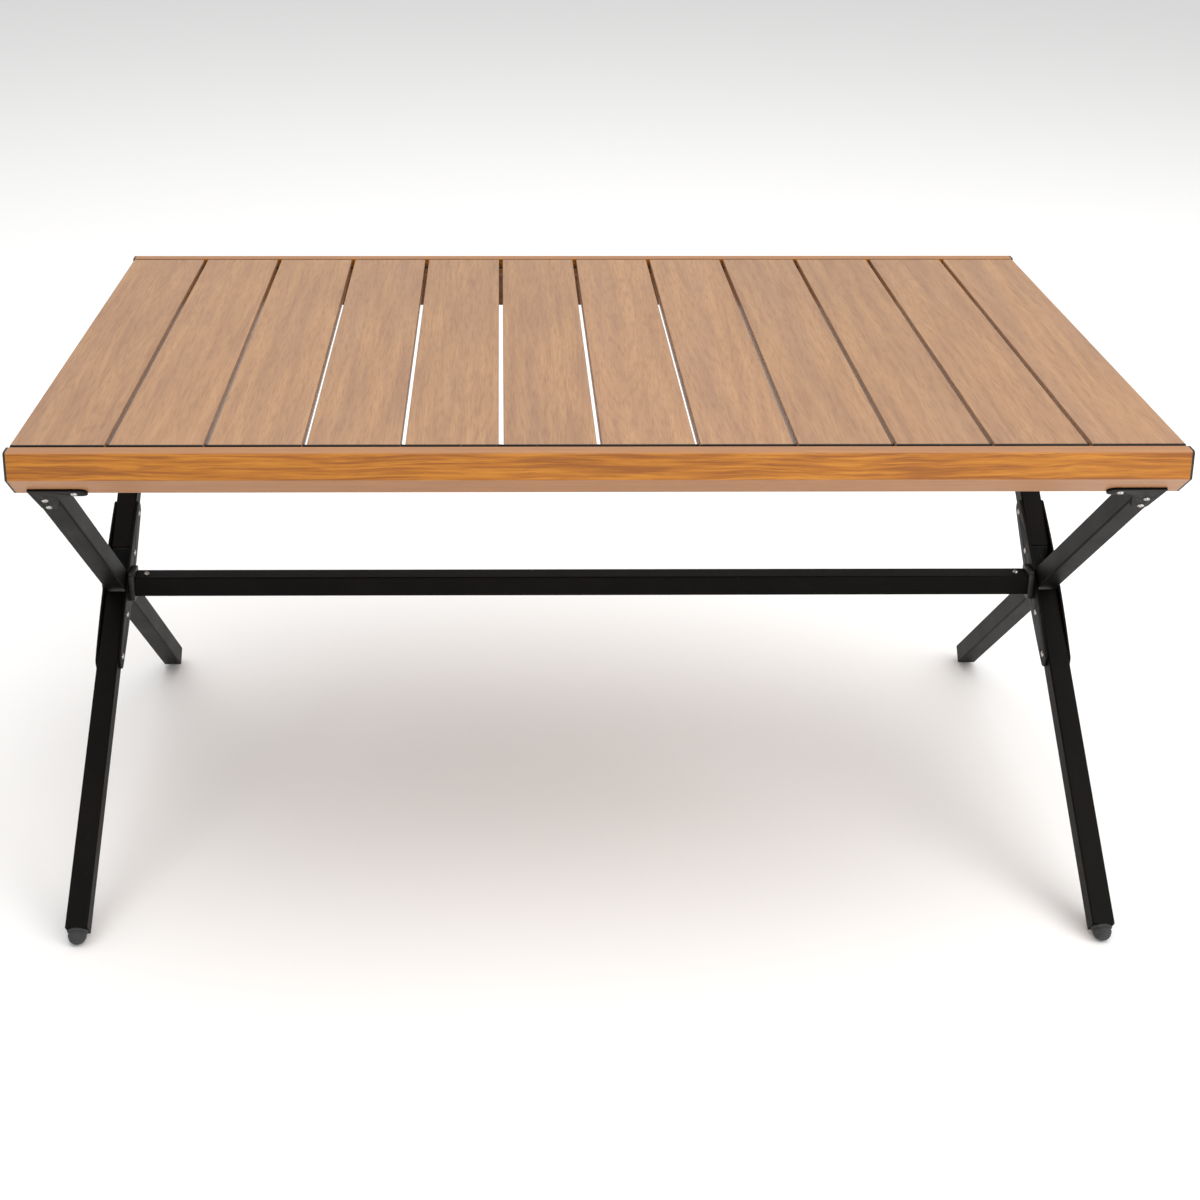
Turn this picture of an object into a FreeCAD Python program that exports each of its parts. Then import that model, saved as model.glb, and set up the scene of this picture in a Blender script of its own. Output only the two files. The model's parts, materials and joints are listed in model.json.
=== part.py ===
import FreeCAD, Part
import math
import os

# Folding picnic table with a roll-up slat top on a crossed-leg frame.
# Millimetres, +Z up. X runs along the table, the front edge faces -Y.
# The origin is on the ground, under the middle of the table.

# Whole table
overallLength = 1200.0
overallDepth = 740.0
overallHeight = 600.0

# Slat top
slatCount = 12
slatPitch = 100.0
slatWidth = 95.0
slatLength = 700.0
slatThickness = 14.0
slatWall = 1.3
slatCornerRadius = 1.2
slatWebOffset = 16.0
slatPlugPlate = 2.0
slatPlugDepth = 10.0

# Elastic cords that string the slats together
cordRadius = 2.0
cordHoleRadius = 2.4
cordInset = 16.0
cordEndPlay = 0.3

# Long rails
railHeight = 57.0
railLipWidth = 16.0
railWidth = 47.0
railWall = 1.6
ledgeGap = 0.25
railCapThickness = 2.5
railPlugDepth = 12.0

# Legs
legPlaneX = 572.0
tubeSide = 25.0
tubeWall = 1.5
tubeCornerRadius = 2.0
pivotHeight = 283.0
legAngle = math.atan2(0.818, 1.0)
splicedLegNear = 17.0
splicedLegFar = 44.0
sidePlay = 0.3

# Splice plates on both sides of the divided legs
spliceHalfLength = 106.0
spliceEndHalfWidth = 11.5
spliceMiddleHalfWidth = 19.5
spliceThickness = 2.5
spliceRivetPlaces = [42.0, 97.0]

# Gusset plates under the rails
gussetThickness = 2.5
gussetArm = 36.0
gussetOnRail = 14.0
gussetOnLeg = 50.0

# Stretcher between the two crossings
stretcherDepth = 25.0
stretcherHeight = 25.0
fittingThickness = 6.5
fittingDepth = 32.0
fittingHeight = 36.0
fittingPlugLength = 26.0

# Feet
footRadius = 10.5
footNeck = 5.0
footPlugLength = 20.0

# Fasteners
runningClearance = 0.05
pivotRadius = 4.0
pivotHeadRadius = 8.0
pivotHeadThickness = 4.0
bushRadius = 7.0
rivetRadius = 2.0
rivetHeadRadius = 3.6
rivetHeadHeight = 1.6
screwRadius = 1.9
screwHeadRadius = 3.5
screwHeadHeight = 2.0
screwDriveRadius = 1.3
screwDriveDepth = 1.0
fitGap = 0.2

# Worked out from the values above
railLength = overallLength - 2 * railCapThickness
slatBottom = overallHeight - slatThickness
railBottom = overallHeight - railHeight
tubeHalf = tubeSide / 2
# The rail's sloping face lies in one plane with the lower face of its leg
railRise = railBottom - pivotHeight
cornerY = (tubeHalf + railRise * math.cos(legAngle)) / math.sin(legAngle)
railChamferRun = overallDepth / 2 - cornerY
chamferDrop = railChamferRun * math.tan(legAngle)
cornerAlongLeg = cornerY * math.cos(legAngle) + railRise * math.sin(legAngle)
plateOuter = tubeHalf + spliceThickness
fittingFaceX = legPlaneX - plateOuter - sidePlay
stretcherHalfLength = fittingFaceX - fittingThickness
stretcherScrewX = stretcherHalfLength - fittingPlugLength / 2
footAlongLeg = (pivotHeight - footRadius) / math.sin(legAngle)
tubeEndAlongLeg = footAlongLeg - footNeck
cordHeight = overallHeight - slatThickness / 2
cordPlaces = [-(slatLength / 2 - cordInset), slatLength / 2 - cordInset]

V = FreeCAD.Vector
xAxis = V(1, 0, 0)
yAxis = V(0, 1, 0)
zAxis = V(0, 0, 1)


def roundedWire(corners, to3d):
    # A closed outline from (a, b, radius) corners; a zero radius keeps the corner sharp.
    joins = []
    count = len(corners)
    for i in range(count):
        a, b, radius = corners[i]
        here = V(a, b, 0)
        before = V(corners[i - 1][0], corners[i - 1][1], 0) - here
        after = V(corners[(i + 1) % count][0], corners[(i + 1) % count][1], 0) - here
        before.normalize()
        after.normalize()
        if radius == 0:
            joins.append((here, None, here))
            continue
        half = before.getAngle(after) / 2
        reach = radius / math.tan(half)
        inward = before + after
        inward.normalize()
        crown = here + inward * (radius / math.sin(half) - radius)
        joins.append((here + before * reach, crown, here + after * reach))
    edges = []
    for i in range(count):
        start, crown, end = joins[i]
        nextStart = joins[(i + 1) % count][0]
        if crown is not None:
            edges.append(Part.Arc(to3d(start), to3d(crown), to3d(end)).toShape())
        if (nextStart - end).Length > 1e-6:
            edges.append(Part.LineSegment(to3d(end), to3d(nextStart)).toShape())
    return Part.Wire(edges)


def prism(corners, to3d, along):
    return Part.Face(roundedWire(corners, to3d)).extrude(along)


def rectangle(width, height, radius):
    a = width / 2
    b = height / 2
    return [(-a, -b, radius), (a, -b, radius), (a, b, radius), (-a, b, radius)]


def cylinder(radius, start, direction, length):
    return Part.makeCylinder(radius, length, start, direction)


def domedHead(radius, height, base, direction):
    # A low spherical cap, flat side on the base point.
    ballRadius = (radius * radius + height * height) / (2 * height)
    centre = base + direction * (height - ballRadius)
    return Part.makeSphere(ballRadius, centre).common(cylinder(radius, base, direction, height + 1))


def panHeadScrew(base, direction, grip):
    # A screw with a domed cross-recess head, its head's flat side on the base point.
    head = domedHead(screwHeadRadius, screwHeadHeight, base, direction)
    shank = cylinder(screwRadius, base - direction * grip, direction, grip)
    recess = cylinder(screwDriveRadius, base + direction * (screwHeadHeight - screwDriveDepth), direction, 3)
    return head.fuse(shank).removeSplitter().cut(recess)


def legPlacement(side):
    # Local X across the tube, local Y up the leg from the pivot, local Z out of its lower face.
    turn = FreeCAD.Rotation(xAxis, 180 - math.degrees(legAngle))
    return FreeCAD.Placement(V(side * legPlaneX, 0, pivotHeight), turn)


def onLeg(shape, side):
    moved = shape.copy()
    moved.Placement = legPlacement(side).multiply(moved.Placement)
    return moved


def toBackLeg(shape):
    return shape.mirror(V(0, 0, 0), yAxis)


def save(name, solids):
    shape = solids[0] if len(solids) == 1 else Part.makeCompound(solids)
    shape.exportStep("parts/" + name + ".step")


os.makedirs("parts", exist_ok=True)


# ---- slat top ----

def slatCentre(index):
    return (index - (slatCount - 1) / 2) * slatPitch


def slatCells():
    # The three hollow cells of the extrusion: (centre, width) of each.
    half = slatWidth / 2 - slatWall
    webHalf = slatWall / 2
    middle = 2 * (slatWebOffset - webHalf)
    outer = half - slatWebOffset - webHalf
    outerCentre = half - outer / 2
    return [(-outerCentre, outer), (0.0, middle), (outerCentre, outer)]


def slat(centreX):
    length = slatLength - 2 * slatPlugPlate
    start = -length / 2

    def section(p):
        return V(centreX + p.x, start, cordHeight + p.y)

    body = prism(rectangle(slatWidth, slatThickness, slatCornerRadius), section, yAxis * length)
    for cellX, cellWidth in slatCells():
        cell = Part.makeBox(cellWidth, length, slatThickness - 2 * slatWall)
        cell.translate(V(centreX + cellX - cellWidth / 2, start, slatBottom + slatWall))
        body = body.cut(cell)
    for y in cordPlaces:
        hole = cylinder(cordHoleRadius, V(centreX - slatWidth, y, cordHeight), xAxis, 2 * slatWidth)
        body = body.cut(hole)
    return body


def slatPlug(centreX, end):
    outerY = end * slatLength / 2

    def section(p):
        return V(centreX + p.x, outerY, cordHeight + p.y)

    outline = rectangle(slatWidth, slatThickness, slatCornerRadius)
    plug = prism(outline, section, yAxis * (-end * slatPlugPlate))
    tongueHeight = slatThickness - 2 * slatWall - 2 * fitGap
    reach = slatPlugPlate + slatPlugDepth
    for cellX, cellWidth in slatCells():
        tongueWidth = cellWidth - 2 * fitGap
        tongue = Part.makeBox(tongueWidth, reach, tongueHeight)
        lowY = outerY - reach if end > 0 else outerY
        tongue.translate(V(centreX + cellX - tongueWidth / 2, lowY, slatBottom + slatWall + fitGap))
        plug = plug.fuse(tongue)
    return plug.removeSplitter()


def cordPieces(index):
    # The cord's run through one slat and across the gap to the next one.
    left = slatCentre(index) - slatWidth / 2
    right = slatCentre(index) + slatWidth / 2
    last = index == slatCount - 1
    end = right if last else right + slatPitch - slatWidth - cordEndPlay
    return [cylinder(cordRadius, V(left, y, cordHeight), xAxis, end - left) for y in cordPlaces]


for index in range(slatCount):
    number = "%02d" % (index + 1)
    centreX = slatCentre(index)
    save("slat_" + number, [slat(centreX)])
    save("slat_plugs_" + number, [slatPlug(centreX, end) for end in (-1, 1)])
    save("elastic_cord_" + number, cordPieces(index))


# ---- long rails ----

def railOutline(inset):
    # The front rail's section as (Y, Z) corners, moved inwards all round by the inset.
    out = -overallDepth / 2 + inset
    lip = -overallDepth / 2 + railLipWidth - inset
    inner = -overallDepth / 2 + railWidth - inset
    top = overallHeight - inset
    ledge = slatBottom - ledgeGap - inset
    bottom = railBottom + inset
    slopeShift = inset * math.tan(legAngle / 2)
    chamferShift = inset * math.tan((math.pi / 2 - legAngle) / 2)
    sharp = max(1.2 - inset, 0)
    return [
        (out, top, max(3.0 - inset, 0)),
        (out, railBottom + chamferDrop + chamferShift, 2 * sharp),
        (-overallDepth / 2 + railChamferRun + slopeShift, bottom, 2 * sharp),
        (inner, bottom, sharp),
        (inner, ledge, sharp),
        (lip, ledge, 0),
        (lip, top, sharp),
    ]


def railPrism(inset, startX, length):
    def section(p):
        return V(startX, p.x, p.y)

    return prism(railOutline(inset), section, xAxis * length)


def gussetScrewPlaces():
    # (across towards the table's middle, along the leg from the rail's lower corner)
    return [(0.0, -18.0), (-1.0, -42.0), (tubeHalf + 22.0, 5.0)]


def rail():
    body = railPrism(0, -railLength / 2, railLength).cut(railPrism(railWall, -railLength / 2, railLength))
    for side in (-1, 1):
        across, along = gussetScrewPlaces()[2]
        hole = cylinder(screwRadius + fitGap, V(-side * across, cornerAlongLeg + along, 0), zAxis, tubeSide)
        body = body.cut(onLeg(hole, side))
    return body


def railCap(side):
    capX = side * railLength / 2
    cap = railPrism(0, min(capX, capX + side * railCapThickness), railCapThickness)
    plug = railPrism(railWall + fitGap, min(capX, capX - side * railPlugDepth), railPlugDepth)
    return cap.fuse(plug).removeSplitter()


# ---- legs ----

def tube(width, start, end):
    # A square tube along local Y.
    def section(p):
        return V(p.x, start, p.y)

    along = yAxis * (end - start)
    outside = prism(rectangle(width, tubeSide, tubeCornerRadius), section, along)
    bore = rectangle(width - 2 * tubeWall, tubeSide - 2 * tubeWall, tubeCornerRadius - tubeWall)
    return outside.cut(prism(bore, section, along))


def reachRail(body, side):
    # Sets the leg in place, saws its top level against the rail's flat bottom and drills the screw holes.
    for across, along in gussetScrewPlaces()[:2]:
        hole = cylinder(screwRadius + fitGap, V(-side * across, cornerAlongLeg + along, 0), zAxis, tubeSide)
        body = body.cut(hole)
    above = Part.makeBox(2 * overallLength, overallDepth, overallHeight)
    above.translate(V(-overallLength, -overallDepth, railBottom))
    return onLeg(body, side).cut(above)


def longLeg(side):
    body = tube(tubeSide - 2 * sidePlay, -tubeEndAlongLeg, cornerAlongLeg + tubeSide)
    body = body.cut(cylinder(bushRadius + runningClearance, V(-tubeSide, 0, 0), xAxis, 2 * tubeSide))
    return reachRail(body, side)


def drillRivets(body):
    for place in spliceRivetPlaces:
        for along in (-place, place):
            start = V(-tubeSide, along, 0)
            body = body.cut(cylinder(rivetRadius + runningClearance, start, xAxis, 2 * tubeSide))
    return body


def sawSlant(body, half):
    # Slants a divided leg's end at the crossing, so that it reaches the other leg and clears it when folded.
    # The upper half is 1 and the lower half is -1.
    slant = (splicedLegFar - splicedLegNear) / tubeSide
    near = splicedLegNear - slant * tubeHalf
    far = splicedLegFar + slant * tubeHalf

    def section(p):
        return V(-tubeSide, half * p.x, half * p.y)

    waste = [(-tubeSide, tubeSide, 0), (near, tubeSide, 0), (far, -tubeSide, 0), (-tubeSide, -tubeSide, 0)]
    return body.cut(prism(waste, section, xAxis * (2 * tubeSide)))


def upperLeg(side):
    body = drillRivets(sawSlant(tube(tubeSide, splicedLegNear, cornerAlongLeg + tubeSide), 1))
    return toBackLeg(reachRail(body, side))


def lowerLeg(side):
    body = drillRivets(sawSlant(tube(tubeSide, -tubeEndAlongLeg, -splicedLegNear), -1))
    return toBackLeg(onLeg(body, side))


def pivotBush(side):
    # A plain bearing through the long leg, flush with its sides.
    width = tubeSide - 2 * sidePlay
    ring = cylinder(bushRadius, V(-width / 2, 0, 0), xAxis, width)
    return onLeg(ring.cut(cylinder(pivotRadius + runningClearance, V(-width / 2, 0, 0), xAxis, width)), side)


def splicePlate(side, face):
    # A boat-shaped plate on one side face of the divided leg: wide at the pivot, narrow at the ends.
    x = face * plateOuter if face > 0 else -plateOuter
    ends = []
    for along in (-spliceHalfLength, spliceHalfLength):
        for across in (-spliceEndHalfWidth, spliceEndHalfWidth):
            ends.append(V(x, along, across))
    lowA, lowB, highA, highB = ends
    edges = [
        Part.Arc(lowA, V(x, 0, -spliceMiddleHalfWidth), highA).toShape(),
        Part.Arc(highA, V(x, spliceHalfLength + 6, 0), highB).toShape(),
        Part.Arc(highB, V(x, 0, spliceMiddleHalfWidth), lowB).toShape(),
        Part.Arc(lowB, V(x, -spliceHalfLength - 6, 0), lowA).toShape(),
    ]
    body = Part.Face(Part.Wire(edges)).extrude(xAxis * (-face * spliceThickness))
    body = body.cut(cylinder(pivotRadius + runningClearance, V(-tubeSide, 0, 0), xAxis, 2 * tubeSide))
    return toBackLeg(onLeg(drillRivets(body), side))


def spliceRivets(side):
    rivets = []
    for place in spliceRivetPlaces:
        for along in (-place, place):
            shank = cylinder(rivetRadius, V(-plateOuter, along, 0), xAxis, 2 * plateOuter)
            for face in (-1, 1):
                base = V(face * plateOuter, along, 0)
                shank = shank.fuse(domedHead(rivetHeadRadius, rivetHeadHeight, base, xAxis * face))
            rivets.append(toBackLeg(onLeg(shank.removeSplitter(), side)))
    return rivets


# ---- gusset plates ----

def gusset(side):
    inward = -side
    armTip = tubeHalf + gussetArm
    armFoot = -gussetOnRail / 4

    def section(p):
        return V(inward * p.x, cornerAlongLeg + p.y, tubeHalf)

    corners = [
        (-tubeHalf, gussetOnRail, 2.0),
        (armTip, gussetOnRail, 8.0),
        (armTip, armFoot, 8.0),
        (tubeHalf + 4, armFoot, 10.0),
        (tubeHalf - 5, -gussetOnLeg, 5.0),
        (-tubeHalf + 3, -gussetOnLeg, 5.0),
    ]
    body = prism(corners, section, zAxis * gussetThickness)
    for across, along in gussetScrewPlaces():
        start = V(inward * across, cornerAlongLeg + along, 0)
        body = body.cut(cylinder(screwRadius + fitGap, start, zAxis, tubeSide))
    return onLeg(body, side)


def gussetScrews(side):
    screws = []
    for across, along in gussetScrewPlaces():
        base = V(-side * across, cornerAlongLeg + along, tubeHalf + gussetThickness)
        screws.append(onLeg(panHeadScrew(base, zAxis, 8.0), side))
    return screws


# ---- feet ----

def foot(side):
    # A rubber foot: a plug in the tube, a round neck and a ball that stands on the ground.
    core = tubeSide - 2 * tubeWall - 2 * fitGap

    def section(p):
        return V(p.x, -tubeEndAlongLeg, p.y)

    plug = prism(rectangle(core - 2 * sidePlay, core, 1.0), section, yAxis * footPlugLength)
    neck = cylinder(footRadius, V(0, -footAlongLeg, 0), yAxis, footNeck)
    ball = Part.makeSphere(footRadius, V(0, -footAlongLeg, 0))
    return onLeg(plug.fuse(neck).fuse(ball).removeSplitter(), side)


# ---- stretcher ----

def stretcherTube():
    def outer(p):
        return V(-stretcherHalfLength, p.x, pivotHeight + p.y)

    along = xAxis * (2 * stretcherHalfLength)
    walls = 2 * tubeWall
    boreCorners = rectangle(stretcherDepth - walls, stretcherHeight - walls, tubeCornerRadius - tubeWall)
    body = prism(rectangle(stretcherDepth, stretcherHeight, tubeCornerRadius), outer, along)
    body = body.cut(prism(boreCorners, outer, along))
    for side in (-1, 1):
        centre = V(side * stretcherScrewX, 0, pivotHeight)
        hole = cylinder(screwRadius + fitGap, centre, zAxis, stretcherHeight)
        body = body.cut(hole)
    return body


def stretcherFitting(side):
    # A flange beside the legs and a plug inside the stretcher, bored for the pivot bolt.
    def flangeSection(p):
        return V(side * fittingFaceX, p.x, pivotHeight + p.y)

    def plugSection(p):
        return V(side * stretcherHalfLength, p.x, pivotHeight + p.y)

    flange = rectangle(fittingDepth, fittingHeight, 4.0)
    body = prism(flange, flangeSection, xAxis * (-side * fittingThickness))
    slack = 2 * tubeWall + 2 * fitGap
    plugCorners = rectangle(stretcherDepth - slack, stretcherHeight - slack, 1.0)
    body = body.fuse(prism(plugCorners, plugSection, xAxis * (-side * fittingPlugLength)))
    boreStart = V(-overallLength / 2, 0, pivotHeight)
    bore = cylinder(pivotRadius + runningClearance, boreStart, xAxis, overallLength)
    screwCentre = V(side * stretcherScrewX, 0, pivotHeight)
    screwHole = cylinder(screwRadius + runningClearance, screwCentre, zAxis, tubeSide)
    return body.removeSplitter().cut(bore).cut(screwHole)


def stretcherScrew(side):
    base = V(side * stretcherScrewX, 0, pivotHeight + stretcherHeight / 2)
    return panHeadScrew(base, zAxis, 7.0)


def pivotBolt(side):
    # From a flat round head outside the leg, through plates and bush, into the stretcher's fitting.
    out = xAxis * side
    headFace = V(side * (legPlaneX + plateOuter + sidePlay), 0, pivotHeight)
    tip = V(side * (stretcherHalfLength - fittingPlugLength / 4), 0, pivotHeight)
    shank = cylinder(pivotRadius, tip, out, (headFace - tip).Length)
    head = cylinder(pivotHeadRadius, headFace, out, pivotHeadThickness)
    recess = prism(
        [(4 * math.cos(k * math.pi / 3), 4 * math.sin(k * math.pi / 3), 0) for k in range(6)],
        lambda p: V(headFace.x + side * pivotHeadThickness, p.x, pivotHeight + p.y),
        out * (-pivotHeadThickness / 2),
    )
    return shank.fuse(head).removeSplitter().cut(recess)


sides = {"left": -1, "right": 1}

frontRail = rail()
frontCaps = [railCap(side) for side in sides.values()]
frontGussets = [gusset(side) for side in sides.values()]
frontScrews = [screw for side in sides.values() for screw in gussetScrews(side)]
feetOfLongLegs = [foot(side) for side in sides.values()]

save("front_rail", [frontRail])
save("front_rail_caps", frontCaps)
save("front_gusset_plates", frontGussets)
save("front_gusset_screws", frontScrews)
save("rear_feet", feetOfLongLegs)
save("pivot_bushes", [pivotBush(side) for side in sides.values()])

save("back_rail", [toBackLeg(frontRail)])
save("back_rail_caps", [toBackLeg(cap) for cap in frontCaps])
save("back_gusset_plates", [toBackLeg(plate) for plate in frontGussets])
save("back_gusset_screws", [toBackLeg(screw) for screw in frontScrews])
save("front_feet", [toBackLeg(solid) for solid in feetOfLongLegs])
save("splice_rivets", [rivet for side in sides.values() for rivet in spliceRivets(side)])

for name, side in sides.items():
    save("long_leg_" + name, [longLeg(side)])
    save("upper_leg_" + name, [upperLeg(side)])
    save("lower_leg_" + name, [lowerLeg(side)])
    save("splice_plates_" + name, [splicePlate(side, face) for face in (-1, 1)])

save("stretcher_tube", [stretcherTube()])
save("stretcher_fittings", [stretcherFitting(side) for side in sides.values()])
save("stretcher_screws", [stretcherScrew(side) for side in sides.values()])
save("pivot_bolts", [pivotBolt(side) for side in sides.values()])
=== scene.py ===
import json
import math
import bpy
import bmesh
from mathutils import Matrix, Vector

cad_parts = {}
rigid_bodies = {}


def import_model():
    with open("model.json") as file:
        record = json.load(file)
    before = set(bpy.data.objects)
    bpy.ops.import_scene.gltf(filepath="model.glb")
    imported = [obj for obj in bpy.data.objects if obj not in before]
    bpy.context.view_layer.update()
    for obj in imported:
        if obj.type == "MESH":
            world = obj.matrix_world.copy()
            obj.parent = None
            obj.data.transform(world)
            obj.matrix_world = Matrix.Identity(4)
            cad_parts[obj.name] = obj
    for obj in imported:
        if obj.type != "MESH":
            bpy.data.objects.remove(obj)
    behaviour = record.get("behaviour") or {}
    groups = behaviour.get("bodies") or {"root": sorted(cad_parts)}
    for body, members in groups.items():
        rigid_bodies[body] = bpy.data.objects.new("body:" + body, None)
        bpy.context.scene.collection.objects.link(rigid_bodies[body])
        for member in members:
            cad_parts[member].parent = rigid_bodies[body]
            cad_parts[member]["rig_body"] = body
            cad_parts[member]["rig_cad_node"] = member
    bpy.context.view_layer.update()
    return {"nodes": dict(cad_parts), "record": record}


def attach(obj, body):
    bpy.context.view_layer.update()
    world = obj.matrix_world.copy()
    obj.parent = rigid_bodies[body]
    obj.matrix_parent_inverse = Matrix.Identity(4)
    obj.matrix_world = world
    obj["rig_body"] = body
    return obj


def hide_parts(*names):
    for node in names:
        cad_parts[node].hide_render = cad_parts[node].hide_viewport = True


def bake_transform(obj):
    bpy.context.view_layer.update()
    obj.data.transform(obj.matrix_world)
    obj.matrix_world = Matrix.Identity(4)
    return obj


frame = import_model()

# Folding picnic table: a roll-up top of wood-grain slats between two long rails, on black crossed legs.
# Metres, +Z up, the front rail faces -Y, the origin is on the ground under the middle of the table.

nodes = frame["nodes"]
slatNumbers = ["%02d" % number for number in range(1, 13)]
print("frame loaded:", len(nodes), "nodes")


# Camera, floor and lights

cameraView = {
    "place": (-0.1011, -2.1739, 1.3043),
    "pitchDown": 0.30883,
    "yawRight": 0.01088,
    "roll": 0.0026,
    "lens": 57.73,
    "shift": (0.0667, -0.225),
}

studio = {
    "floorSize": 40.0,
    "floorTone": (252, 252, 252),
    "skyStrength": 0.64,
    # name, place, aimed at, size, watts, colour
    "lights": [
        ("overheadLight", (0.3, -0.2, 4.2), (0.0, 0.0, 0.0), 6.0, 170.0, (1.0, 0.99, 0.97)),
        ("keyLight", (2.5, -1.7, 2.3), (0.5, 0.0, 0.6), 1.8, 34.0, (1.0, 0.98, 0.95)),
        ("frontLight", (1.4, -4.2, 1.2), (0.0, 0.0, 0.5), 2.6, 42.0, (1.0, 1.0, 1.0)),
    ],
}


def shade(red, green, blue):
    # Screen values from 0 to 255 as the linear colour a shader takes
    return [((value / 255 + 0.055) / 1.055) ** 2.4 for value in (red, green, blue)] + [1.0]


def setUpCamera():
    view = cameraView
    bpy.ops.object.camera_add(location=view["place"])
    camera = bpy.context.object
    camera.name = "viewCamera"
    turn = Matrix.Rotation(-view["yawRight"], 4, "Z")
    tilt = Matrix.Rotation(math.pi / 2 - view["pitchDown"], 4, "X")
    roll = Matrix.Rotation(view["roll"], 4, "Z")
    camera.matrix_world = Matrix.Translation(view["place"]) @ turn @ tilt @ roll
    camera.data.sensor_width = 36.0
    camera.data.lens = view["lens"]
    camera.data.shift_x, camera.data.shift_y = view["shift"]
    camera.data.clip_end = 100.0
    bpy.context.scene.camera = camera


def setUpStudio():
    scene = bpy.context.scene
    scene.view_settings.view_transform = "Standard"
    world = bpy.data.worlds.new("studioWorld")
    scene.world = world
    world.use_nodes = True
    sky = world.node_tree.nodes["Background"]
    sky.inputs["Color"].default_value = (1.0, 1.0, 1.0, 1.0)
    sky.inputs["Strength"].default_value = studio["skyStrength"]
    for name, place, target, size, watts, colour in studio["lights"]:
        bpy.ops.object.light_add(type="AREA", location=place)
        light = bpy.context.object
        light.name = name
        light.rotation_euler = (Vector(target) - Vector(place)).to_track_quat("-Z", "Y").to_euler()
        light.data.size = size
        light.data.energy = watts
        light.data.color = colour
    bpy.ops.mesh.primitive_plane_add(size=studio["floorSize"], location=(0, 0, 0))
    floor = bpy.context.object
    floor.name = "studioFloor"
    material = bpy.data.materials.new("studioFloorPaint")
    material.use_nodes = True
    paint = material.node_tree.nodes["Principled BSDF"]
    paint.inputs["Base Color"].default_value = shade(*studio["floorTone"])
    paint.inputs["Roughness"].default_value = 0.9
    floor.data.materials.append(material)


setUpCamera()
setUpStudio()
print("camera, floor and lights are set")


# Shader building

def newMaterial(name, roughness, metallic=0.0):
    material = bpy.data.materials.new(name)
    material.use_nodes = True
    shader = material.node_tree.nodes["Principled BSDF"]
    shader.inputs["Roughness"].default_value = roughness
    shader.inputs["Metallic"].default_value = metallic
    return material, shader


def addNode(material, kind, inputs, **settings):
    made = material.node_tree.nodes.new("ShaderNode" + kind)
    for name, value in settings.items():
        setattr(made, name, value)
    for name, value in inputs.items():
        connect(material, value, made.inputs[name])
    return made


def connect(material, value, socket):
    if isinstance(value, bpy.types.NodeSocket):
        material.node_tree.links.new(value, socket)
    else:
        socket.default_value = value


def calc(material, operation, first, second=0.0, clamp=False):
    return addNode(material, "Math", {0: first, 1: second}, operation=operation, use_clamp=clamp).outputs[0]


def stretch(material, vector, scale, offset=(0.0, 0.0, 0.0)):
    # The pattern runs long where the scale is small
    inputs = {0: vector, 1: scale, 2: offset}
    return addNode(material, "VectorMath", inputs, operation="MULTIPLY_ADD").outputs[0]


def noise(material, vector, scale, detail=2.0, distortion=0.0):
    inputs = {"Vector": vector, "Scale": scale, "Detail": detail, "Distortion": distortion}
    return addNode(material, "TexNoise", inputs).outputs["Fac"]


def between(material, value, low, high):
    # 0 below low, 1 above high, smooth in between
    inputs = {"Value": value, "From Min": low, "From Max": high}
    return addNode(material, "MapRange", inputs, interpolation_type="SMOOTHSTEP").outputs["Result"]


def spread(material, value, low, high):
    # Takes a value from 0 to 1 to the range from low to high
    return addNode(material, "MapRange", {"Value": value, "To Min": low, "To Max": high}).outputs["Result"]


def mixColour(material, amount, first, second):
    inputs = {0: amount, 6: first, 7: second}
    return addNode(material, "Mix", inputs, data_type="RGBA", blend_type="MIX").outputs[2]


def relief(material, shader, height, depth):
    # The bump's depth is in metres
    bump = addNode(material, "Bump", {"Height": height, "Distance": depth, "Strength": 1.0})
    connect(material, bump.outputs["Normal"], shader.inputs["Normal"])


def objectPlace(material):
    return addNode(material, "TexCoord", {}).outputs["Object"]


def parts(material, vector):
    return addNode(material, "SeparateXYZ", {0: vector}).outputs


# Printed wood grain of the slats, each slat with its own cut of the print

slatWood = {
    "lightTone": (173, 133, 96),
    "middleTone": (164, 124, 89),
    "darkTone": (153, 114, 82),
    "mauveTone": (150, 116, 95),
    "fleckTone": (116, 79, 55),
    "lineTone": (142, 101, 74),
    "roughness": (0.36, 0.50),
    "grainDepth": 0.00004,
}


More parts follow.
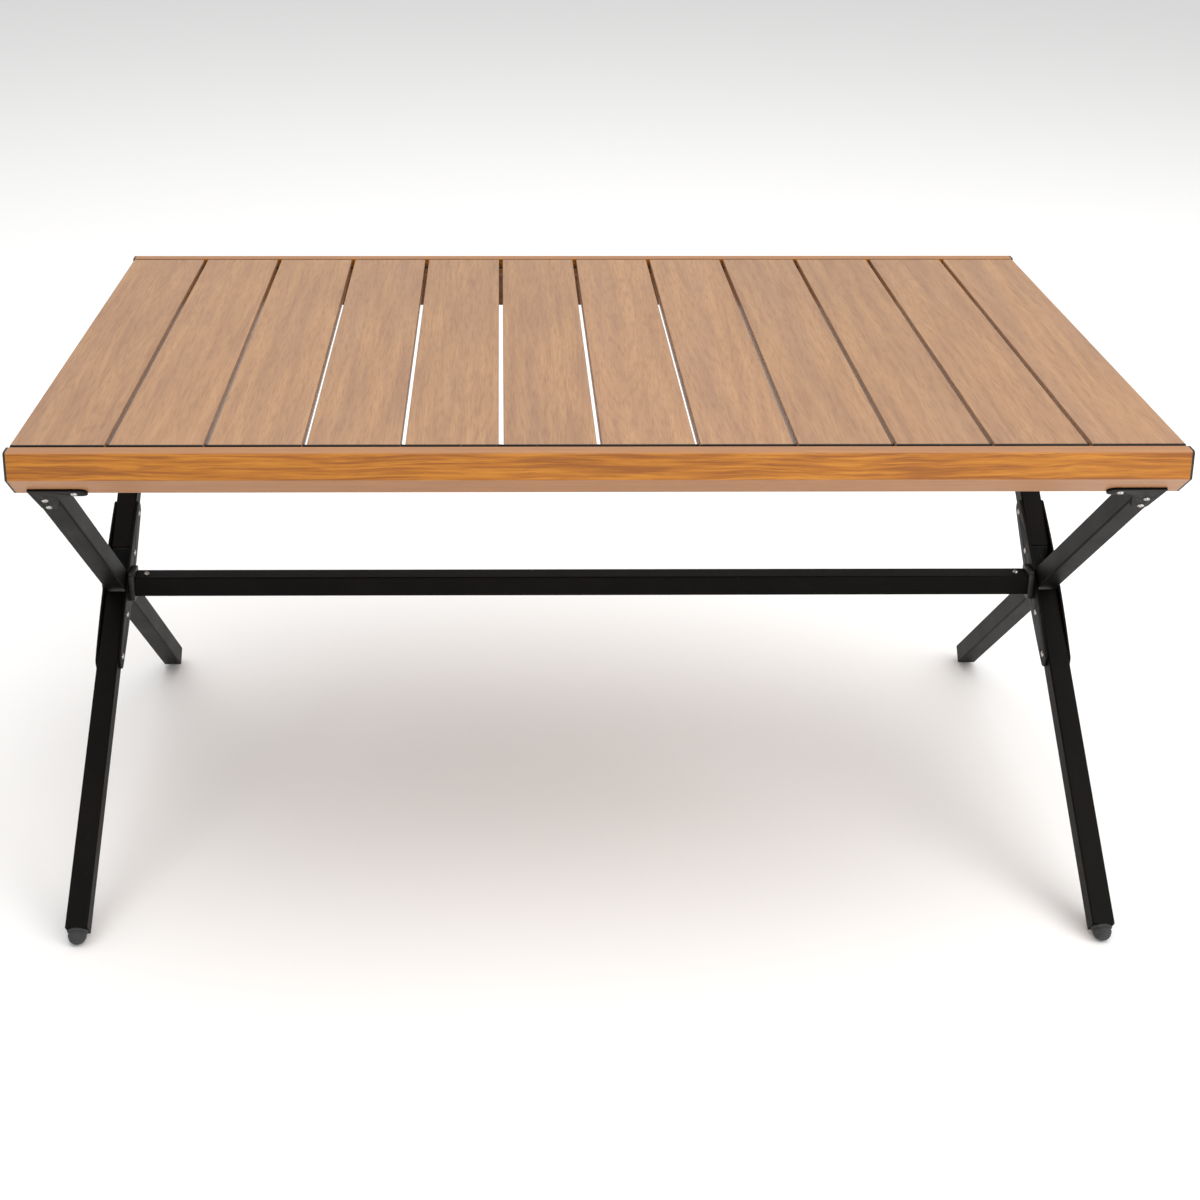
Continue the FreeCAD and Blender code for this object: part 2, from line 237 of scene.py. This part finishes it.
def makeSlatWood():
    look = slatWood
    material, shader = newMaterial("woodgrainSlat", 0.42)
    place = objectPlace(material)
    x, y = parts(material, place)[:2]
    slatIndex = calc(material, "FLOOR", calc(material, "DIVIDE", calc(material, "ADD", x, 0.6), 0.1))
    seedInputs = {"W": calc(material, "ADD", slatIndex, 0.37)}
    seed = addNode(material, "TexWhiteNoise", seedInputs, noise_dimensions="1D").outputs["Color"]
    seedA, seedB, seedC = parts(material, seed)
    shift = stretch(material, seed, (7.0, 9.0, 5.0))

    # Broad soft bands, then fine short flecks, both lengthwise
    bands = noise(material, stretch(material, place, (1.0, 0.05, 1.0), shift), 90.0, 4.0, 0.35)
    haze = noise(material, stretch(material, place, (1.0, 0.09, 1.0), shift), 21.0, 2.0)
    flecks = noise(material, stretch(material, place, (1.0, 0.05, 1.0), shift), 640.0, 2.0)
    pores = noise(material, stretch(material, place, (1.0, 0.025, 1.0), shift), 1500.0, 1.0)

    # Pointed arches down the length of some slats
    centreX = calc(material, "MULTIPLY_ADD", slatIndex, 0.1)
    centreX.node.inputs[2].default_value = -0.55
    offCentre = calc(material, "SUBTRACT", x, centreX)
    across = calc(material, "SUBTRACT", offCentre, spread(material, seedA, -0.022, 0.022))
    along = calc(material, "SUBTRACT", y, spread(material, seedB, -0.30, 0.42))
    flatInputs = {0: calc(material, "DIVIDE", across, 0.030), 1: calc(material, "DIVIDE", along, 0.40)}
    flat = addNode(material, "CombineXYZ", flatInputs)
    radius = addNode(material, "VectorMath", {0: flat.outputs[0]}, operation="LENGTH").outputs["Value"]
    wander = noise(material, stretch(material, place, (1.0, 0.14, 1.0), shift), 26.0, 2.0)
    wavering = calc(material, "ADD", radius, spread(material, wander, -0.45, 0.45))
    ring = calc(material, "SINE", calc(material, "MULTIPLY", wavering, 34.0))
    arches = calc(material, "MULTIPLY", between(material, ring, 0.35, 1.0),
                  between(material, seedC, 0.25, 0.75))

    # A few faint knots
    knotPlace = stretch(material, place, (1.0, 0.45, 0.0), shift)
    knotField = addNode(material, "TexVoronoi", {"Vector": knotPlace, "Scale": 7.5}).outputs["Distance"]
    knots = calc(material, "SUBTRACT", 1.0, between(material, knotField, 0.02, 0.10))

    colour = mixColour(material, between(material, bands, 0.30, 0.52),
                       shade(*look["darkTone"]), shade(*look["middleTone"]))
    colour = mixColour(material, between(material, bands, 0.48, 0.70), colour, shade(*look["lightTone"]))
    hazeAmount = calc(material, "MULTIPLY", between(material, haze, 0.45, 0.70), 0.28)
    colour = mixColour(material, hazeAmount, colour, shade(*look["mauveTone"]))
    colour = mixColour(material, calc(material, "MULTIPLY", arches, 0.24), colour, shade(*look["lineTone"]))
    colour = mixColour(material, calc(material, "MULTIPLY", knots, 0.14), colour, shade(*look["lineTone"]))
    fleckAmount = calc(material, "MULTIPLY", between(material, flecks, 0.48, 0.66), 0.30)
    colour = mixColour(material, fleckAmount, colour, shade(*look["fleckTone"]))
    poreAmount = calc(material, "MULTIPLY", between(material, pores, 0.56, 0.72), 0.22)
    colour = mixColour(material, poreAmount, colour, shade(*look["fleckTone"]))
    tint = addNode(material, "HueSaturation", {"Value": spread(material, seedB, 0.95, 1.05), "Color": colour})
    connect(material, tint.outputs[0], shader.inputs["Base Color"])
    connect(material, spread(material, bands, *look["roughness"]), shader.inputs["Roughness"])
    relief(material, shader, calc(material, "SUBTRACT", bands, fleckAmount), look["grainDepth"])
    return material


# Honey-coloured wood grain of the rails, with the streaks along the rail

railWood = {
    "lightTone": (186, 120, 34),
    "middleTone": (168, 102, 20),
    "darkTone": (140, 80, 18),
    "fleckTone": (112, 60, 23),
    # The next tone is painted sheen for the lip and the lower sloping face
    "paleTone": (160, 117, 84),
    # The next tone is painted shade for the walls facing the slats
    "innerShadeTone": (62, 39, 21),
    "innerWallY": 0.3255,
    "roughness": (0.34, 0.48),
    "grainDepth": 0.00005,
}


def makeRailWood():
    look = railWood
    material, shader = newMaterial("woodgrainRail", 0.4)
    shader.inputs["Specular IOR Level"].default_value = 0.36
    coordinates = addNode(material, "TexCoord", {})
    place = coordinates.outputs["Object"]
    normalZ = parts(material, coordinates.outputs["Normal"])[2]

    # The streaks rise and fall a little along the rail
    sway = noise(material, stretch(material, place, (1.0, 0.3, 0.3)), 7.0, 2.0)
    swayInputs = {1: calc(material, "MULTIPLY", sway, 0.006), 2: calc(material, "MULTIPLY", sway, 0.014)}
    swayShift = addNode(material, "CombineXYZ", swayInputs)
    swayed = addNode(material, "VectorMath", {0: place, 1: swayShift.outputs[0]}, operation="ADD").outputs[0]
    bands = noise(material, stretch(material, swayed, (0.035, 1.0, 1.0)), 300.0, 4.0, 0.3)
    streaks = noise(material, stretch(material, swayed, (0.03, 1.0, 1.0)), 700.0, 3.0)
    flecks = noise(material, stretch(material, swayed, (0.04, 1.0, 1.0)), 1100.0, 1.0)

    colour = mixColour(material, between(material, bands, 0.34, 0.52),
                       shade(*look["darkTone"]), shade(*look["middleTone"]))
    colour = mixColour(material, between(material, bands, 0.46, 0.68), colour, shade(*look["lightTone"]))
    streakAmount = calc(material, "MULTIPLY", between(material, streaks, 0.52, 0.68), 0.55)
    colour = mixColour(material, streakAmount, colour, shade(*look["darkTone"]))
    fleckAmount = calc(material, "MULTIPLY", between(material, flecks, 0.58, 0.72), 0.35)
    colour = mixColour(material, fleckAmount, colour, shade(*look["fleckTone"]))
    # Painted sheen: the lip and the lower sloping face, picked by their normals, are given a paler, greyer
    # tone that stands in for the sheen of the top lights
    paintedSheenMask = between(material, calc(material, "ABSOLUTE", normalZ), 0.25, 0.60)
    colour = mixColour(material, calc(material, "MULTIPLY", paintedSheenMask, 0.75), colour, shade(*look["paleTone"]))
    # Painted shade: the upright walls facing the slats are darkened to the brown they show in their own
    # shadow
    fromMiddle = calc(material, "ABSOLUTE", parts(material, place)[1])
    inner = calc(material, "LESS_THAN", fromMiddle, look["innerWallY"])
    upright = calc(material, "SUBTRACT", 1.0, paintedSheenMask)
    paintedShadeAmount = calc(material, "MULTIPLY", inner, calc(material, "MULTIPLY", upright, 0.8))
    colour = mixColour(material, paintedShadeAmount, colour, shade(*look["innerShadeTone"]))
    connect(material, colour, shader.inputs["Base Color"])
    connect(material, spread(material, streaks, *look["roughness"]), shader.inputs["Roughness"])
    relief(material, shader, calc(material, "SUBTRACT", bands, streakAmount), look["grainDepth"])
    return material


# Black powder coat of the legs, plates and stretcher

powderCoat = {
    "deepTone": (9, 8, 7),
    "paleTone": (15, 12, 10),
    "scuffTone": (36, 31, 27),
    "roughness": (0.42, 0.58),
    "peelDepth": 0.00006,
}


def makePowderCoat():
    look = powderCoat
    material, shader = newMaterial("blackPowderCoat", 0.4)
    shader.inputs["Specular IOR Level"].default_value = 0.07
    place = objectPlace(material)
    cloud = noise(material, place, 16.0, 3.0)
    peel = noise(material, place, 950.0, 2.0)
    grit = noise(material, place, 2400.0, 1.0)
    scuffs = noise(material, stretch(material, place, (0.5, 1.0, 1.0)), 210.0, 6.0, 0.8)
    colour = mixColour(material, between(material, cloud, 0.35, 0.65),
                       shade(*look["deepTone"]), shade(*look["paleTone"]))
    scuffAmount = calc(material, "MULTIPLY", between(material, scuffs, 0.64, 0.76), 0.35)
    colour = mixColour(material, scuffAmount, colour, shade(*look["scuffTone"]))
    connect(material, colour, shader.inputs["Base Color"])
    connect(material, spread(material, cloud, *look["roughness"]), shader.inputs["Roughness"])
    texture = calc(material, "ADD", peel, calc(material, "MULTIPLY", grit, 0.4))
    relief(material, shader, texture, look["peelDepth"])
    return material


# Moulded plastics and rubber: a fine spark texture, a little mottled

mouldings = {
    "blackPlastic": {
        "tones": ((9, 9, 9), (16, 16, 16)), "roughness": (0.42, 0.60), "grain": 1300.0, "depth": 0.00005,
    },
    "bearingNylon": {
        "tones": ((196, 192, 180), (212, 209, 199)), "roughness": (0.35, 0.50),
        "grain": 800.0, "depth": 0.00002,
    },
    "footRubber": {
        "tones": ((38, 39, 40), (53, 54, 55)), "roughness": (0.66, 0.86), "grain": 900.0, "depth": 0.00008,
    },
}


def makeMoulding(name):
    look = mouldings[name]
    material, shader = newMaterial(name, look["roughness"][0])
    place = objectPlace(material)
    mottle = noise(material, place, 45.0, 4.0)
    spark = noise(material, place, look["grain"], 2.0)
    dust = noise(material, place, 260.0, 5.0, 0.6)
    low, high = look["tones"]
    colour = mixColour(material, between(material, mottle, 0.35, 0.65), shade(*low), shade(*high))
    dustAmount = calc(material, "MULTIPLY", between(material, dust, 0.62, 0.76), 0.20)
    colour = mixColour(material, dustAmount, colour, (0.35, 0.34, 0.32, 1.0))
    connect(material, colour, shader.inputs["Base Color"])
    connect(material, spread(material, mottle, *look["roughness"]), shader.inputs["Roughness"])
    relief(material, shader, spark, look["depth"])
    return material


# Zinc-plated steel of the screws and rivets

plating = {
    "lightTone": (214, 213, 210),
    "darkTone": (168, 166, 161),
    "roughness": (0.20, 0.38),
    "brushDepth": 0.00001,
}


def makePlating():
    look = plating
    material, shader = newMaterial("zincPlating", 0.28, 1.0)
    place = objectPlace(material)
    cloud = noise(material, place, 420.0, 4.0, 0.4)
    brush = noise(material, stretch(material, place, (0.25, 1.0, 1.0)), 3200.0, 2.0)
    colour = mixColour(material, between(material, cloud, 0.35, 0.68),
                       shade(*look["darkTone"]), shade(*look["lightTone"]))
    connect(material, colour, shader.inputs["Base Color"])
    connect(material, spread(material, cloud, *look["roughness"]), shader.inputs["Roughness"])
    relief(material, shader, brush, look["brushDepth"])
    return material


# Braided sheath of the elastic cords, on the cord's own map: around it and along it

braid = {
    "threadTone": (40, 40, 42),
    "gapTone": (12, 12, 13),
    "threadsAround": 6.0,
    "threadsAlong": 60.0,
    "depth": 0.00022,
}


def makeBraid():
    look = braid
    material, shader = newMaterial("braidedElastic", 0.75)
    mapping = addNode(material, "UVMap", {}, uv_map="UVMap")
    around, along = parts(material, mapping.outputs["UV"])[:2]
    turns = calc(material, "MULTIPLY", around, look["threadsAround"] * 2 * math.pi)
    runs = calc(material, "MULTIPLY", along, look["threadsAlong"] * 2 * math.pi)
    left = calc(material, "SINE", calc(material, "ADD", turns, runs))
    right = calc(material, "SINE", calc(material, "SUBTRACT", turns, runs))
    weave = spread(material, calc(material, "MULTIPLY", left, right), 0.35, 1.0)
    fuzz = noise(material, objectPlace(material), 2600.0, 2.0)
    threadAmount = calc(material, "MULTIPLY", weave, spread(material, fuzz, 0.7, 1.1), True)
    colour = mixColour(material, threadAmount, shade(*look["gapTone"]), shade(*look["threadTone"]))
    connect(material, colour, shader.inputs["Base Color"])
    connect(material, spread(material, fuzz, 0.62, 0.85), shader.inputs["Roughness"])
    relief(material, shader, weave, look["depth"])
    return material


finishes = {
    "woodgrain_slat": makeSlatWood(),
    "woodgrain_rail": makeRailWood(),
    "black_frame": makePowderCoat(),
    "black_plastic": makeMoulding("blackPlastic"),
    "bearing_plastic": makeMoulding("bearingNylon"),
    "foot_rubber": makeMoulding("footRubber"),
    "bright_steel": makePlating(),
    "elastic": makeBraid(),
}
for row in frame["record"]["subparts"]:
    for place in nodes[row["node"]].material_slots:
        place.material = finishes[row["material_slot"]]
print("materials made:", len(finishes))


# Modelling helpers

def deselectAll():
    bpy.ops.object.select_all(action="DESELECT")


def pickVertices(piece, wanted):
    # In edit mode, selects the vertices whose place the test wants
    bpy.ops.mesh.select_mode(type="VERT")
    bpy.ops.mesh.select_all(action="DESELECT")
    shape = bmesh.from_edit_mesh(piece.data)
    for vertex in shape.verts:
        vertex.select = wanted(vertex.co)
    shape.select_flush(True)
    bmesh.update_edit_mesh(piece.data)


def pickFaces(piece, wanted):
    # In edit mode, selects the faces whose normal and middle the test wants
    bpy.ops.mesh.select_mode(type="FACE")
    bpy.ops.mesh.select_all(action="DESELECT")
    shape = bmesh.from_edit_mesh(piece.data)
    for face in shape.faces:
        face.select = wanted(face.normal, face.calc_center_median())
    bmesh.update_edit_mesh(piece.data)


def turnPiece(name, rings, sides):
    # A closed turned shape about its own Z axis; each ring is (radius, height), from the bottom to the top
    deselectAll()
    radius, height = rings[0]
    bpy.ops.mesh.primitive_circle_add(vertices=sides, radius=radius, fill_type="NGON", location=(0, 0, 0))
    piece = bpy.context.object
    piece.name = name
    bpy.ops.object.mode_set(mode="EDIT")
    bpy.ops.mesh.select_all(action="SELECT")
    bpy.ops.transform.translate(value=(0, 0, height))
    for nextRadius, nextHeight in rings[1:]:
        bpy.ops.mesh.extrude_region_move(TRANSFORM_OT_translate={"value": (0, 0, nextHeight - height)})
        factor = nextRadius / radius
        bpy.ops.transform.resize(value=(factor, factor, 1), center_override=(0, 0, nextHeight))
        radius, height = nextRadius, nextHeight
    bpy.ops.mesh.select_all(action="SELECT")
    bpy.ops.mesh.normals_make_consistent(inside=False)
    bpy.ops.object.mode_set(mode="OBJECT")
    return piece


def cutSlot(piece, length, width, depth, top):
    # Sinks a tapered slot across the top of the piece
    deselectAll()
    bpy.ops.mesh.primitive_cube_add(size=1, location=(0, 0, 0))
    cutter = bpy.context.object
    bpy.ops.object.mode_set(mode="EDIT")
    bpy.ops.transform.resize(value=(length, width, 2 * depth))
    bpy.ops.transform.translate(value=(0, 0, top))
    pickVertices(cutter, lambda place: place.z < top)
    bpy.ops.transform.resize(value=(0.55, 0.7, 1), center_override=(0, 0, top))
    bpy.ops.object.mode_set(mode="OBJECT")
    deselectAll()
    piece.select_set(True)
    bpy.context.view_layer.objects.active = piece
    cutting = piece.modifiers.new("cutting", "BOOLEAN")
    cutting.solver = "EXACT"
    cutting.object = cutter
    bpy.ops.object.modifier_apply(modifier="cutting")
    bpy.data.objects.remove(cutter)


def placeCopies(master, name, places):
    # One object with a copy of the master at each place; the master itself goes
    deselectAll()
    for place in places:
        copy = master.copy()
        copy.data = master.data.copy()
        bpy.context.scene.collection.objects.link(copy)
        copy.data.transform(place)
        copy.select_set(True)
        bpy.context.view_layer.objects.active = copy
    bpy.ops.object.join()
    piece = bpy.context.object
    piece.name = name
    return piece


def smooth(piece, degrees):
    deselectAll()
    piece.select_set(True)
    bpy.context.view_layer.objects.active = piece
    bpy.ops.object.shade_smooth_by_angle(angle=math.radians(degrees))


def finishPiece(piece, slotName, body, *replaced):
    piece.data.materials.clear()
    piece.data.materials.append(finishes[slotName])
    if body:
        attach(piece, body)
    if replaced:
        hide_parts(*replaced)


# Places on the four legs, in the leg's own axes: along it from the pivot, up is positive

legs = {
    "planeX": 0.572,
    "pivotHeight": 0.283,
    "angle": math.atan(0.818),
    "tubeSide": 0.025,
    "plateOuter": 0.015,
    "railBottom": 0.543,
    "plateThickness": 0.0025,
}
legSides = (-1, 1)


def legPlace(side, isBack, across=0.0, along=0.0, out=0.0):
    # Across runs towards the table's middle, out runs out of the leg's lower face, which is local Z
    near = -side if isBack else side
    base = Matrix.Translation((near * legs["planeX"], 0, legs["pivotHeight"]))
    base = base @ Matrix.Rotation(math.pi - legs["angle"], 4, "X")
    base = base @ Matrix.Translation((-near * across, along, out))
    return Matrix.Rotation(math.pi, 4, "Z") @ base if isBack else base


def railCornerAlong():
    # How far up the leg its lower face meets the rail's flat bottom
    rise = legs["railBottom"] - legs["pivotHeight"]
    sine, cosine = math.sin(legs["angle"]), math.cos(legs["angle"])
    cornerY = (legs["tubeSide"] / 2 + rise * cosine) / sine
    return cornerY * cosine + rise * sine


# Plates, caps and plugs with their edges broken

edgeBreaks = {
    # node: (width of the broken edge, slot, body)
    "front_gusset_plates": (0.0005, "black_frame", "front_frame"),
    "back_gusset_plates": (0.0005, "black_frame", "back_frame"),
    "splice_plates_left": (0.0005, "black_frame", "back_frame"),
    "splice_plates_right": (0.0005, "black_frame", "back_frame"),
    "front_rail_caps": (0.0006, "black_plastic", "front_frame"),
    "back_rail_caps": (0.0006, "black_plastic", "back_frame"),
    "stretcher_fittings": (0.0009, "black_plastic", "stretcher"),
    "pivot_bolts": (0.0005, "black_frame", "stretcher"),
}
for number in slatNumbers:
    edgeBreaks["slat_plugs_" + number] = (0.0004, "black_plastic", "top_slat_" + number)


def breakEdges(node, width, slotName, body):
    deselectAll()
    piece = nodes[node].copy()
    piece.data = nodes[node].data.copy()
    piece.parent = None
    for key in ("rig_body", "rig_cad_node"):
        if key in piece:
            del piece[key]
    bpy.context.scene.collection.objects.link(piece)
    piece.name = node + "_softened"
    piece.select_set(True)
    bpy.context.view_layer.objects.active = piece
    bpy.ops.mesh.customdata_custom_splitnormals_clear()
    bpy.ops.object.mode_set(mode="EDIT")
    bpy.ops.mesh.select_all(action="SELECT")
    bpy.ops.mesh.remove_doubles(threshold=0.000002)
    bpy.ops.mesh.dissolve_limited(angle_limit=math.radians(0.5))
    bpy.ops.object.mode_set(mode="OBJECT")
    rounding = piece.modifiers.new("rounding", "BEVEL")
    rounding.width = width
    rounding.segments = 2
    rounding.limit_method = "ANGLE"
    rounding.angle_limit = math.radians(35)
    bpy.ops.object.modifier_apply(modifier="rounding")
    smooth(piece, 32)
    finishPiece(piece, slotName, body, node)


for node, (width, slotName, body) in edgeBreaks.items():
    breakEdges(node, width, slotName, body)
print("edges broken on", len(edgeBreaks), "plates, caps and plugs")


# Cross-head screws under the rails and on the stretcher

screws = {
    # radius and height of each ring of the domed head
    "rings": [(0.0035, -0.0004), (0.0035, 0.0003), (0.0034, 0.0006), (0.0031, 0.0011), (0.0026, 0.0015),
              (0.0019, 0.0018), (0.0011, 0.00195), (0.0003, 0.0020)],
    "slotLength": 0.0038,
    "slotWidth": 0.0010,
    "slotDepth": 0.0011,
    "domeTop": 0.0020,
    # across and along from the corner under the rail
    "onGusset": [(0.0, -0.018), (-0.001, -0.042), (0.0345, 0.005)],
    "stretcherX": 0.5372,
    "stretcherTop": 0.2955,
}


def makeScrewHead():
    look = screws
    head = turnPiece("screwHead", look["rings"], 32)
    for length, width in ((look["slotLength"], look["slotWidth"]), (look["slotWidth"], look["slotLength"])):
        cutSlot(head, length, width, look["slotDepth"], look["domeTop"])
    smooth(head, 40)
    return head


screwHead = makeScrewHead()
plateFace = legs["tubeSide"] / 2 + legs["plateThickness"]
for isBack, frameSide in ((False, "front"), (True, "back")):
    node = frameSide + "_gusset_screws"
    places = []
    for side in legSides:
        for turnNumber, (across, along) in enumerate(screws["onGusset"]):
            spin = Matrix.Rotation(0.5 + 0.9 * turnNumber + 0.4 * side, 4, "Z")
            places.append(legPlace(side, isBack, across, railCornerAlong() + along, plateFace) @ spin)
    detailed = placeCopies(screwHead, node + "_detailed", places)
    finishPiece(detailed, "bright_steel", frameSide + "_frame", node)
places = []
for side in legSides:
    seat = Matrix.Translation((side * screws["stretcherX"], 0, screws["stretcherTop"]))
    places.append(seat @ Matrix.Rotation(0.6 * side, 4, "Z"))
finishPiece(placeCopies(screwHead, "stretcher_screws_detailed", places),
            "bright_steel", "stretcher", "stretcher_screws")
bpy.data.objects.remove(screwHead)
print("screws placed")


# Blind rivets through the splice plates, with the broken mandrel in the middle

rivets = {
    "rings": [(0.0036, -0.0004), (0.0036, 0.0002), (0.0035, 0.0005), (0.0031, 0.0010), (0.0024, 0.0014),
              (0.0016, 0.0016), (0.0013, 0.0016), (0.0011, 0.0012), (0.0009, 0.0012), (0.0008, 0.0015),
              (0.0002, 0.0015)],
    "along": (0.042, 0.097),
}
rivetHead = turnPiece("rivetHead", rivets["rings"], 24)
smooth(rivetHead, 45)
places = []
for side in legSides:
    for along in [end * place for place in rivets["along"] for end in (-1, 1)]:
        for face in (-1, 1):
            onPlate = Matrix.Translation((face * legs["plateOuter"], 0, 0))
            outward = onPlate @ Matrix.Rotation(face * math.pi / 2, 4, "Y")
            places.append(legPlace(side, True, 0.0, along) @ outward)
finishPiece(placeCopies(rivetHead, "splice_rivets_detailed", places),
            "bright_steel", "back_frame", "splice_rivets")
bpy.data.objects.remove(rivetHead)
print("rivets placed")


# Rubber feet: a collar against the tube, a neck groove and a ball with a ring round it

feet = {
    "rings": [(0.0092, -0.0180), (0.0095, -0.0054), (0.0114, -0.0052), (0.0118, -0.0046), (0.0118, -0.0030),
              (0.0114, -0.0024), (0.0101, -0.0020), (0.0098, -0.0012), (0.0101, -0.0004), (0.0105, 0.0002),
              (0.01043, 0.0012), (0.0102, 0.0025), (0.00971, 0.0040), (0.00925, 0.0044), (0.00905, 0.0050),
              (0.0088, 0.0057), (0.0080, 0.0068), (0.0068, 0.0080), (0.0052, 0.0091), (0.0032, 0.0100),
              (0.0014, 0.0104), (0.0003, 0.0105)],
    "ballRadius": 0.0105,
}
footAlong = (legs["pivotHeight"] - feet["ballRadius"]) / math.sin(legs["angle"])
for isBack, node, body in ((False, "rear_feet", "front_frame"), (True, "front_feet", "back_frame")):
    foot = turnPiece("footMaster", feet["rings"], 40)
    smooth(foot, 50)
    downTube = Matrix.Rotation(math.pi / 2, 4, "X")
    places = [legPlace(side, isBack, 0.0, -footAlong) @ downTube for side in legSides]
    finishPiece(placeCopies(foot, node + "_detailed", places), "foot_rubber", body, node)
    bpy.data.objects.remove(foot)
print("feet placed")


# Plugs in the slanted ends of the divided legs, each with a shallow panel

legPlugs = {
    "width": 0.0218,
    "mouthAlong": 0.0305,
    "backAlong": 0.050,
    "slant": 1.08,
    "setBack": 0.0012,
    "panelInset": 0.0025,
    "panelDepth": 0.0015,
}


def makeLegPlug():
    look = legPlugs
    half = look["width"] / 2
    deselectAll()
    bpy.ops.mesh.primitive_cube_add(size=1, location=(0, 0, 0))
    plug = bpy.context.object
    length = look["backAlong"] - look["mouthAlong"]
    bpy.ops.object.mode_set(mode="EDIT")
    bpy.ops.transform.resize(value=(look["width"], length, look["width"]))
    bpy.ops.transform.translate(value=(0, look["mouthAlong"] + look["setBack"] + length / 2, 0))
    middle = look["mouthAlong"] + look["setBack"] + length / 2
    for end in (-1, 1):
        pickVertices(plug, lambda place: place.y < middle and place.z * end > 0)
        bpy.ops.transform.translate(value=(0, -end * half * look["slant"], 0))
    pickFaces(plug, lambda normal, centre: normal.y < -0.3)
    bpy.ops.mesh.inset(thickness=look["panelInset"], depth=0)
    bpy.ops.mesh.inset(thickness=0.0004, depth=-look["panelDepth"])
    bpy.ops.mesh.select_all(action="SELECT")
    bpy.ops.mesh.normals_make_consistent(inside=False)
    bpy.ops.object.mode_set(mode="OBJECT")
    rounding = plug.modifiers.new("rounding", "BEVEL")
    rounding.width = 0.0005
    rounding.segments = 2
    bpy.ops.object.modifier_apply(modifier="rounding")
    smooth(plug, 32)
    return plug


legPlug = makeLegPlug()
places = []
for side in legSides:
    upper = legPlace(side, True)
    places += [upper, upper @ Matrix.Rotation(math.pi, 4, "X")]
finishPiece(placeCopies(legPlug, "divided_leg_plugs", places), "black_plastic", "back_frame")
bpy.data.objects.remove(legPlug)
print("leg plugs placed")


# Elastic cords: a straight run from the middle of each slat to the middle of the next, with close rings where
# it crosses the gap

cords = {
    "radius": 0.0020,
    "height": 0.593,
    "rowY": 0.334,
    "pitch": 0.100,
    "gapHalf": 0.0025,
    "sides": 14,
    "endReach": 0.0478,
    "knotRings": [(0.0019, -0.0010), (0.0027, -0.0002), (0.0031, 0.0004), (0.0030, 0.0010), (0.0023, 0.0015),
                  (0.0010, 0.0018), (0.0003, 0.0019)],
}


def cordRun(name, startX, endX, cuts):
    # Both rows' runs as one piece, with rings at the cuts
    look = cords
    runs = []
    for y in (-look["rowY"], look["rowY"]):
        deselectAll()
        middle = ((startX + endX) / 2, y, look["height"])
        bpy.ops.mesh.primitive_cylinder_add(
            vertices=look["sides"], radius=look["radius"], depth=endX - startX,
            location=middle, rotation=(0, math.pi / 2, 0))
        run = bpy.context.object
        bpy.ops.object.transform_apply(location=True, rotation=True, scale=True)
        bpy.ops.object.mode_set(mode="EDIT")
        for number, cut in enumerate(cuts):
            bpy.ops.mesh.select_all(action="SELECT")
            bpy.ops.mesh.bisect(plane_co=(cut, y, look["height"]), plane_no=(1, 0, 0))
            # Every other ring stands in a little, as the sheath's plaits do
            if number % 2:
                pickVertices(run, lambda place: abs(place.x - cut) < 0.00001)
                bpy.ops.transform.resize(value=(1, 0.93, 0.93), center_override=(cut, y, look["height"]))
        bpy.ops.object.mode_set(mode="OBJECT")
        runs.append(run)
    deselectAll()
    for run in runs:
        run.select_set(True)
    bpy.context.view_layer.objects.active = runs[0]
    bpy.ops.object.join()
    piece = bpy.context.object
    piece.name = name
    smooth(piece, 50)
    return piece


def slatMiddle(number):
    return (number - 6.5) * cords["pitch"]


for number in range(1, 12):
    gapX = slatMiddle(number) + cords["pitch"] / 2
    cuts = [gapX + step * 0.0005 for step in range(-9, 10)]
    startX, endX = slatMiddle(number) + 0.0003, slatMiddle(number + 1) - 0.0003
    piece = cordRun("elastic_run_%02d" % number, startX, endX, cuts)
    finishPiece(piece, "elastic", None, "elastic_cord_%02d" % number)
    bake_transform(piece)
for number, edge in ((1, -1), (12, 1)):
    outerX = slatMiddle(number) + edge * cords["endReach"]
    startX, endX = sorted((slatMiddle(number) + edge * 0.0003, outerX))
    cuts = [outerX - edge * step * 0.0006 for step in range(1, 8)]
    run = cordRun("elastic_end_%02d" % number, startX, endX, cuts)
    knot = turnPiece("knotMaster", cords["knotRings"], 20)
    smooth(knot, 60)
    places = []
    for y in (-cords["rowY"], cords["rowY"]):
        seat = Matrix.Translation((outerX - edge * 0.0001, y, cords["height"]))
        places.append(seat @ Matrix.Rotation(edge * math.pi / 2, 4, "Y"))
    stops = placeCopies(knot, "cord_stops_%02d" % number, places)
    bpy.data.objects.remove(knot)
    finishPiece(stops, "black_plastic", "top_slat_%02d" % number)
    replaced = ["elastic_cord_12"] if number == 12 else []
    finishPiece(run, "elastic", "top_slat_%02d" % number, *replaced)
print("elastic cords strung")
